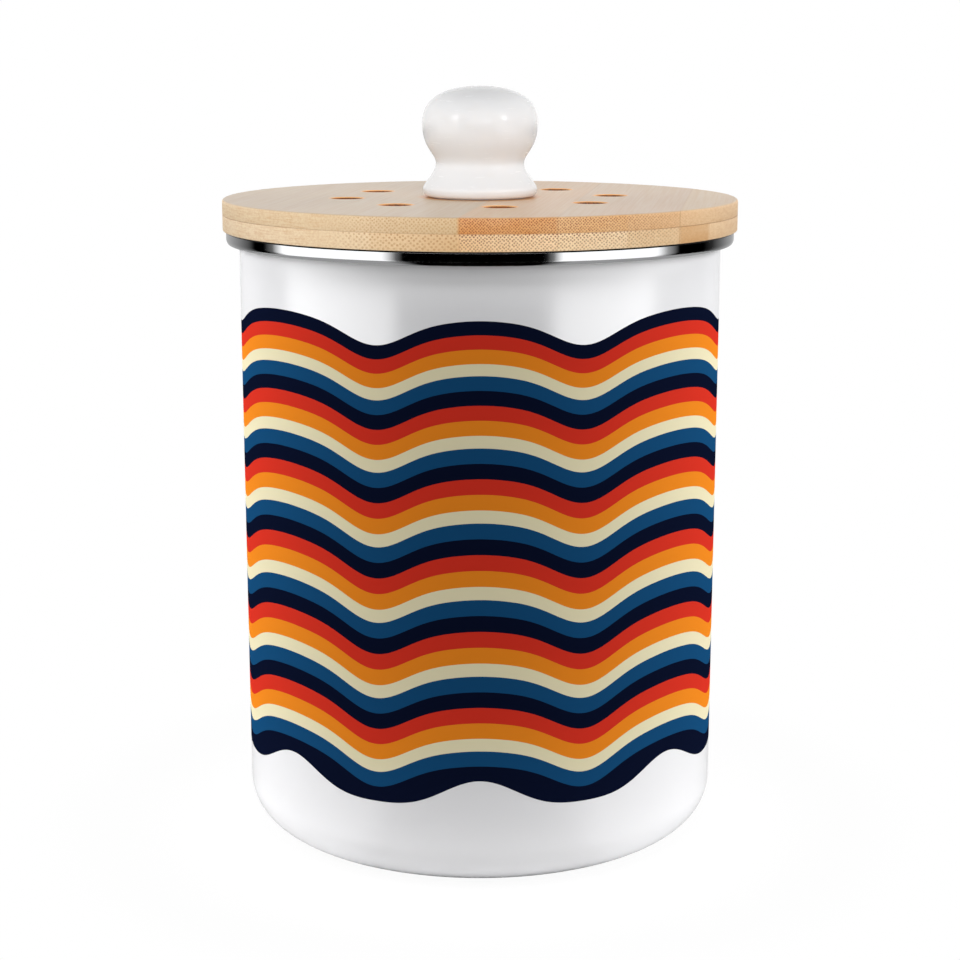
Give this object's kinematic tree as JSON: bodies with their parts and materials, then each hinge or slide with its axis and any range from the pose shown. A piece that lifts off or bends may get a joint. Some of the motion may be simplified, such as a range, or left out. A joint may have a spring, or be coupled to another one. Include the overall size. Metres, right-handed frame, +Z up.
{
  "type": "compost caddy",
  "caption": "Round kitchen compost caddy: coated steel canister with a polished rim, a vented bamboo lid with a turned knob, a seal and a push-fit charcoal filter holder.",
  "frame": {"origin": "centre of the canister's flat base, on the surface it stands on", "axes": "+Z up along the canister's axis; the object is seen in the picture from the -Y side, with +X to the right"},
  "size_m": [0.16, 0.16, 0.2336],
  "materials": {
    "enamel": "glossy white coating on steel, printed with wavy stripes in navy, red, orange, cream and blue",
    "polished_steel": "mirror-polished stainless steel",
    "bamboo": "sanded bamboo, long grain on top and fibre ends at the edge",
    "bamboo_pale": "sanded bamboo, a paler board",
    "silicone": "matt translucent silicone",
    "knob_lacquer": "white satin lacquer on turned wood",
    "brass": "machined brass",
    "zinc_steel": "zinc-plated steel",
    "filter_plastic": "off-white moulded plastic, satin",
    "charcoal": "black charcoal-filled felt"
  },
  "bodies": {
    "canister": {"canister_shell": "enamel", "rim_band": "polished_steel"},
    "lid": {"lid_upper_ply": "bamboo", "lid_lower_ply": "bamboo_pale", "lid_locating_ring": "bamboo_pale", "lid_seal": "silicone", "knob": "knob_lacquer", "knob_insert": "brass", "knob_screw": "zinc_steel", "knob_washer": "zinc_steel", "filter_frame": "filter_plastic", "frame_screw_1": "zinc_steel", "frame_screw_2": "zinc_steel", "frame_screw_3": "zinc_steel", "frame_screw_4": "zinc_steel"},
    "filter_cap": {"filter_cap": "filter_plastic"},
    "filter_pad": {"charcoal_filter": "charcoal"}
  },
  "joints": [
    {"name": "lid_lift", "type": "slide", "parent": "canister", "child": "lid", "axis": [0, 0, 1], "range_m": [0, 0.06]},
    {"name": "filter_cap_pull", "type": "slide", "parent": "lid", "child": "filter_cap", "axis": [0, 0, -1], "range_m": [0, 0.024]},
    {"name": "charcoal_filter_drop", "type": "slide", "parent": "lid", "child": "filter_pad", "axis": [0, 0, -1], "range_m": [0, 0.012]}
  ],
  "couplings": [
    {"joint": "charcoal_filter_drop", "follows": "filter_cap_pull", "ratio": 0.5}
  ]
}
